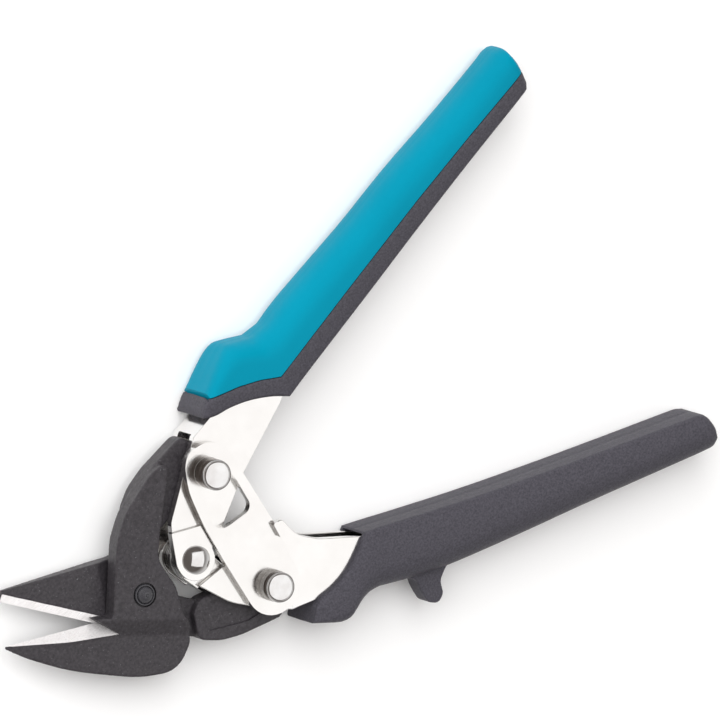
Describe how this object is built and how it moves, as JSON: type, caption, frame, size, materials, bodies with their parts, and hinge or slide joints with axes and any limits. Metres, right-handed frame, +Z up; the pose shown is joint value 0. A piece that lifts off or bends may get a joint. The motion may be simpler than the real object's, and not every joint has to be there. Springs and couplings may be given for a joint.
{
  "type": "metal shear",
  "caption": "Compact compound-leverage metal shear with forged offset jaws, riveted channel handles, moulded grips and a hooked latch plate, shown open.",
  "frame": {"origin": "under the middle of the open shear, on the surface it lies on", "axes": "+X along the linkage's centre line from the jaws to the handles, +Y towards the upper handle, +Z up through the latch side"},
  "size_m": [0.1722, 0.1096, 0.0192],
  "materials": {
    "forged_steel": "black forged, ground edges",
    "black_bolt": "blackened, turned head",
    "plain_washer": "plain",
    "plated_sheet": "nickel plated, satin bright",
    "bright_pin": "polished",
    "spring_wire": "drawn wire",
    "dark_plastic": "fine moulded grain",
    "teal_plastic": "satin moulded"
  },
  "bodies": {
    "lower_handle": {"lower_frame": "plated_sheet", "handle_pivot_pin": "bright_pin", "handle_pivot_washer": "bright_pin", "lower_link_pin": "bright_pin", "lower_link_washer": "bright_pin", "lower_arm_spacers": "plain_washer", "latch_spring_washers": "bright_pin", "spring_sleeve": "plain_washer", "return_spring": "spring_wire", "lower_grip": "dark_plastic"},
    "upper_handle": {"upper_frame": "plated_sheet", "upper_link_pin": "bright_pin", "upper_link_washer": "bright_pin", "upper_arm_spacers": "plain_washer", "upper_grip_core": "dark_plastic", "upper_grip_cover": "teal_plastic"},
    "upper_blade": {"upper_blade": "forged_steel", "blade_pivot_bolt": "black_bolt", "blade_pivot_nut": "black_bolt", "pivot_washer": "plain_washer"},
    "lower_blade": {"lower_blade": "forged_steel"},
    "latch": {"latch_plate": "plated_sheet"}
  },
  "joints": [
    {"name": "handle_squeeze", "type": "hinge", "parent": "lower_handle", "child": "upper_handle", "pos_m": [-0.03875, -0.00025, 0.00715], "axis": [0, 0, -1], "range_deg": [0, 36], "stiffness_Nm_per_rad": 1.4, "springref_deg": -24.64, "deforming": ["return_spring"]},
    {"name": "upper_blade_turn", "type": "hinge", "parent": "lower_handle", "child": "upper_blade", "pos_m": [-0.02627, -0.01581, 0.00715], "axis": [0, 0, -1], "range_deg": [0, 8.7]},
    {"name": "lower_blade_turn", "type": "hinge", "parent": "upper_blade", "child": "lower_blade", "pos_m": [-0.05285, -0.00025, 0.00715], "axis": [0, 0, -1], "range_deg": [0, 18.8]},
    {"name": "latch_turn", "type": "hinge", "parent": "lower_handle", "child": "latch", "pos_m": [-0.02627, -0.01581, 0.00715], "axis": [0, 0, -1], "range_deg": [0, 22.6]}
  ],
  "couplings": [
    {"joint": "upper_blade_turn", "follows": "handle_squeeze", "ratio": 0.2395},
    {"joint": "lower_blade_turn", "follows": "handle_squeeze", "ratio": 0.5205},
    {"joint": "latch_turn", "follows": "handle_squeeze", "ratio": 0.357}
  ]
}
